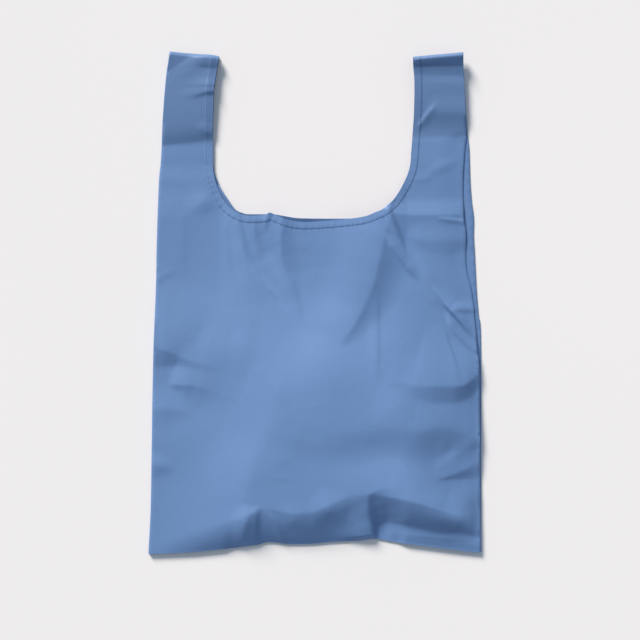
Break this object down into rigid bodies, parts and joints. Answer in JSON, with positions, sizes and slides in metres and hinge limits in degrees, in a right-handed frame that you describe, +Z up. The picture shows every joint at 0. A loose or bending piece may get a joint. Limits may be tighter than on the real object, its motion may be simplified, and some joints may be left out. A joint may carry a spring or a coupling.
{
  "type": "carrier bag",
  "caption": "Fold-up carrier bag of thin blue woven cloth, laid flat, with loop handles, side gussets folded in and a hemmed neck.",
  "frame": {"origin": "on the table under the middle of the bag's outline", "axes": "+Y towards the handles, +Z up out of the front face, +X to the right seen from the front"},
  "size_m": [0.3915, 0.5899, 0.0231],
  "materials": {
    "cloth": "thin plain-woven nylon with a soft sheen",
    "thread": "spun sewing thread"
  },
  "bodies": {
    "root": {"front_panel": "cloth", "back_panel": "cloth", "front_neck_stitching": "thread", "back_neck_stitching": "thread", "left_side_seam_thread": "thread", "right_side_seam_thread": "thread", "bottom_seam_thread": "thread", "left_handle_seam_thread": "thread", "right_handle_seam_thread": "thread"}
  },
  "joints": []
}
